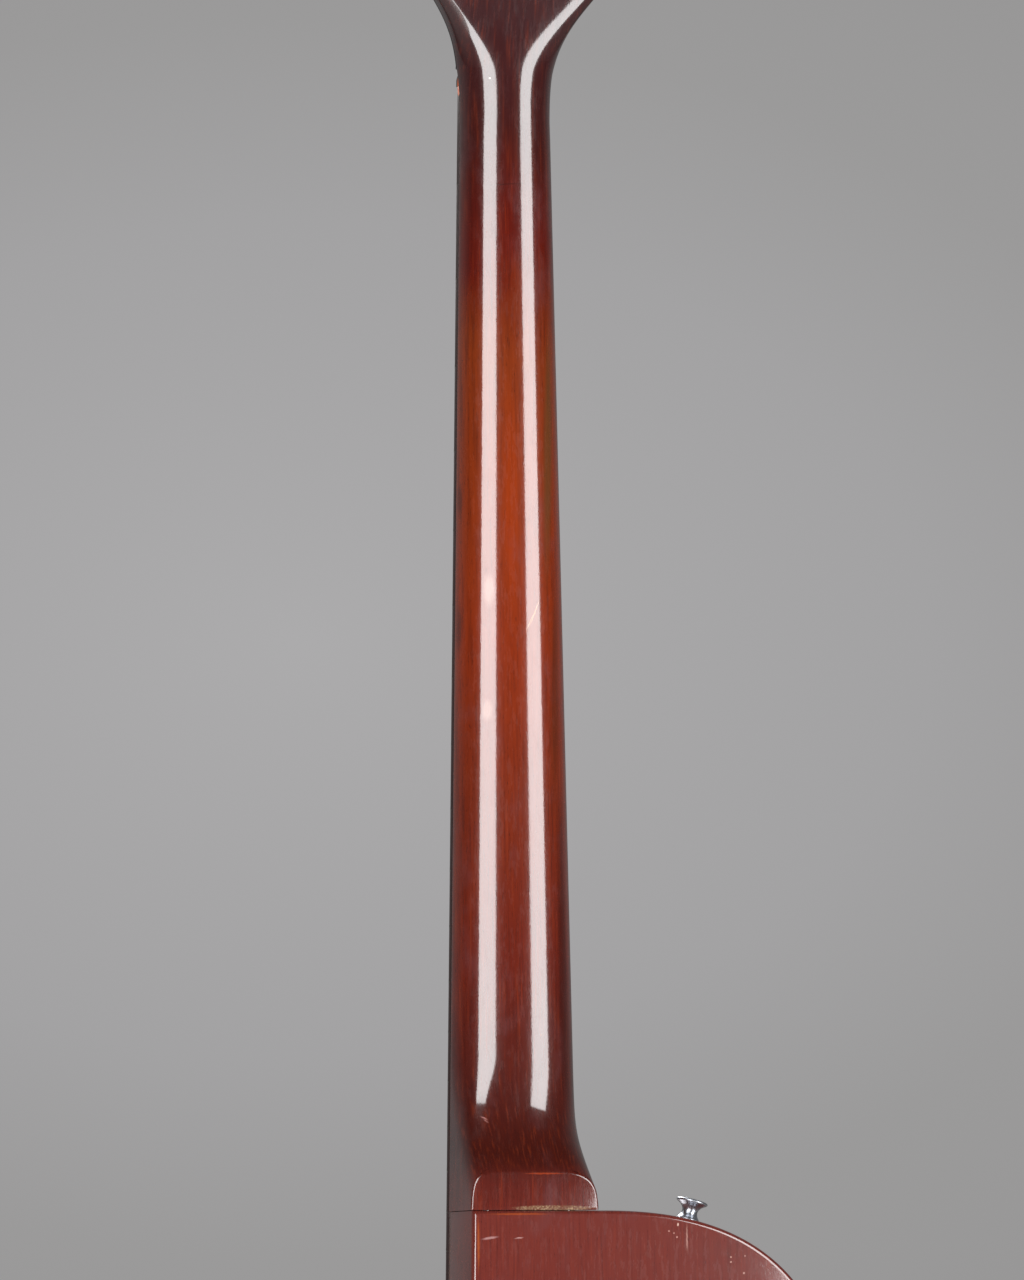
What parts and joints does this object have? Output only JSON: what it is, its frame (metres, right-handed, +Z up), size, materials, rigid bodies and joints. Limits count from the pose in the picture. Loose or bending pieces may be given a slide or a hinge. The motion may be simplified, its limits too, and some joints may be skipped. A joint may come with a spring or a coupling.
{
  "type": "electric bass guitar",
  "caption": "Solid-body single-cutaway electric bass guitar with set neck, round-backed neck and sculpted glued heel, tilted 2+2 headstock, four strings, two pickups and strap buttons.",
  "frame": {"origin": "on the flat back of the body, on the centre line, level with the saddle line", "axes": "+Z up the neck towards the headstock, +Y out of the front where the strings are, +X to the bass-string side"},
  "size_m": [0.356, 0.0739, 1.1268],
  "materials": {
    "cherry_lacquer_mahogany": "glossy lacquer",
    "fingerboard_rosewood": "oiled",
    "black_plastic": "satin",
    "bone": "polished",
    "nickel_plate": "polished, slightly dulled",
    "steel": "machined",
    "brass": "machined",
    "wound_steel_string": "wound wire"
  },
  "bodies": {
    "root": {"body": "cherry_lacquer_mahogany", "bridge_base": "nickel_plate", "bridge_stud_bass": "nickel_plate", "bridge_stud_treble": "nickel_plate", "control_cover": "black_plastic", "fingerboard": "fingerboard_rosewood", "headstock_veneer": "black_plastic", "jack_plate": "nickel_plate", "jack_socket": "nickel_plate", "neck": "cherry_lacquer_mahogany", "nut": "bone", "pickup_bridge": "black_plastic", "pickup_neck": "black_plastic", "post_bushing_a": "nickel_plate", "post_bushing_d": "nickel_plate", "post_bushing_e": "nickel_plate", "post_bushing_g": "nickel_plate", "pot_bridge_volume": "steel", "pot_neck_volume": "steel", "pot_tone": "steel", "strap_button_end": "nickel_plate", "strap_button_shoulder": "nickel_plate", "strap_screw_end": "steel", "strap_screw_shoulder": "steel", "string_a": "wound_steel_string", "string_d": "wound_steel_string", "string_e": "wound_steel_string", "string_g": "wound_steel_string", "truss_rod": "steel", "truss_rod_cover": "black_plastic", "tuner_housing_a": "nickel_plate", "tuner_housing_d": "nickel_plate", "tuner_housing_e": "nickel_plate", "tuner_housing_g": "nickel_plate"},
    "tuner_key_e_turning": {"tuner_key_e": "nickel_plate"},
    "tuner_post_e_turning": {"tuner_post_e": "nickel_plate"},
    "saddle_e_sliding": {"saddle_e": "nickel_plate"},
    "intonation_screw_e_turning": {"intonation_screw_e": "steel"},
    "tuner_key_a_turning": {"tuner_key_a": "nickel_plate"},
    "tuner_post_a_turning": {"tuner_post_a": "nickel_plate"},
    "saddle_a_sliding": {"saddle_a": "nickel_plate"},
    "intonation_screw_a_turning": {"intonation_screw_a": "steel"},
    "tuner_key_d_turning": {"tuner_key_d": "nickel_plate"},
    "tuner_post_d_turning": {"tuner_post_d": "nickel_plate"},
    "saddle_d_sliding": {"saddle_d": "nickel_plate"},
    "intonation_screw_d_turning": {"intonation_screw_d": "steel"},
    "tuner_key_g_turning": {"tuner_key_g": "nickel_plate"},
    "tuner_post_g_turning": {"tuner_post_g": "nickel_plate"},
    "saddle_g_sliding": {"saddle_g": "nickel_plate"},
    "intonation_screw_g_turning": {"intonation_screw_g": "steel"},
    "control_neck_volume": {"knob_neck_volume": "black_plastic", "pot_shaft_neck_volume": "brass"},
    "control_bridge_volume": {"knob_bridge_volume": "black_plastic", "pot_shaft_bridge_volume": "brass"},
    "control_tone": {"knob_tone": "black_plastic", "pot_shaft_tone": "brass"},
    "truss_rod_adjuster": {"truss_rod_nut": "brass"}
  },
  "joints": [
    {"name": "tuner_key_e", "type": "hinge", "parent": "root", "child": "tuner_key_e_turning", "pos_m": [0.027, 0.00174, 0.84267], "axis": [1, 0, 0], "continuous": true},
    {"name": "tuner_post_e", "type": "hinge", "parent": "root", "child": "tuner_post_e_turning", "pos_m": [0.027, 0.02371, 0.83872], "axis": [0, 0.9659, 0.2588], "continuous": true},
    {"name": "tuner_key_a", "type": "hinge", "parent": "root", "child": "tuner_key_a_turning", "pos_m": [0.027, -0.01379, 0.90063], "axis": [1, 0, 0], "continuous": true},
    {"name": "tuner_post_a", "type": "hinge", "parent": "root", "child": "tuner_post_a_turning", "pos_m": [0.027, 0.00818, 0.89668], "axis": [0, 0.9659, 0.2588], "continuous": true},
    {"name": "tuner_key_d", "type": "hinge", "parent": "root", "child": "tuner_key_d_turning", "pos_m": [-0.027, -0.01379, 0.90063], "axis": [1, 0, 0], "continuous": true},
    {"name": "tuner_post_d", "type": "hinge", "parent": "root", "child": "tuner_post_d_turning", "pos_m": [-0.027, 0.00818, 0.89668], "axis": [0, 0.9659, 0.2588], "continuous": true},
    {"name": "tuner_key_g", "type": "hinge", "parent": "root", "child": "tuner_key_g_turning", "pos_m": [-0.027, 0.00174, 0.84267], "axis": [1, 0, 0], "continuous": true},
    {"name": "tuner_post_g", "type": "hinge", "parent": "root", "child": "tuner_post_g_turning", "pos_m": [-0.027, 0.02371, 0.83872], "axis": [0, 0.9659, 0.2588], "continuous": true},
    {"name": "intonation_screw_e", "type": "hinge", "parent": "root", "child": "intonation_screw_e_turning", "pos_m": [0.0285, 0.0447, 0.017], "axis": [0, 0, 1], "range_deg": [-1542.9, 3085.7]},
    {"name": "saddle_e", "type": "slide", "parent": "root", "child": "saddle_e_sliding", "axis": [0, 0, 1], "range_m": [-0.003, 0.006]},
    {"name": "intonation_screw_a", "type": "hinge", "parent": "root", "child": "intonation_screw_a_turning", "pos_m": [0.0095, 0.0447, 0.017], "axis": [0, 0, 1], "range_deg": [-1542.9, 3085.7]},
    {"name": "saddle_a", "type": "slide", "parent": "root", "child": "saddle_a_sliding", "axis": [0, 0, 1], "range_m": [-0.003, 0.006]},
    {"name": "intonation_screw_d", "type": "hinge", "parent": "root", "child": "intonation_screw_d_turning", "pos_m": [-0.0095, 0.0447, 0.017], "axis": [0, 0, 1], "range_deg": [-1542.9, 3085.7]},
    {"name": "saddle_d", "type": "slide", "parent": "root", "child": "saddle_d_sliding", "axis": [0, 0, 1], "range_m": [-0.003, 0.006]},
    {"name": "intonation_screw_g", "type": "hinge", "parent": "root", "child": "intonation_screw_g_turning", "pos_m": [-0.0285, 0.0447, 0.017], "axis": [0, 0, 1], "range_deg": [-1542.9, 3085.7]},
    {"name": "saddle_g", "type": "slide", "parent": "root", "child": "saddle_g_sliding", "axis": [0, 0, 1], "range_m": [-0.003, 0.006]},
    {"name": "knob_neck_volume", "type": "hinge", "parent": "root", "child": "control_neck_volume", "pos_m": [-0.126, 0.0375, -0.008], "axis": [0, 1, 0], "range_deg": [-150, 150]},
    {"name": "knob_bridge_volume", "type": "hinge", "parent": "root", "child": "control_bridge_volume", "pos_m": [-0.113, 0.0375, -0.041], "axis": [0, 1, 0], "range_deg": [-150, 150]},
    {"name": "knob_tone", "type": "hinge", "parent": "root", "child": "control_tone", "pos_m": [-0.1, 0.0375, -0.074], "axis": [0, 1, 0], "range_deg": [-150, 150]},
    {"name": "truss_rod_nut", "type": "hinge", "parent": "root", "child": "truss_rod_adjuster", "pos_m": [0, 0.029, 0.7907], "axis": [0, 0, 1], "range_deg": [-180, 180]}
  ],
  "couplings": [
    {"joint": "tuner_post_e", "follows": "tuner_key_e", "ratio": 0.05},
    {"joint": "tuner_post_a", "follows": "tuner_key_a", "ratio": 0.05},
    {"joint": "tuner_post_d", "follows": "tuner_key_d", "ratio": 0.05},
    {"joint": "tuner_post_g", "follows": "tuner_key_g", "ratio": 0.05},
    {"joint": "intonation_screw_e", "follows": "saddle_e", "rad_per_m": 8976},
    {"joint": "intonation_screw_a", "follows": "saddle_a", "rad_per_m": 8976},
    {"joint": "intonation_screw_d", "follows": "saddle_d", "rad_per_m": 8976},
    {"joint": "intonation_screw_g", "follows": "saddle_g", "rad_per_m": 8976}
  ]
}
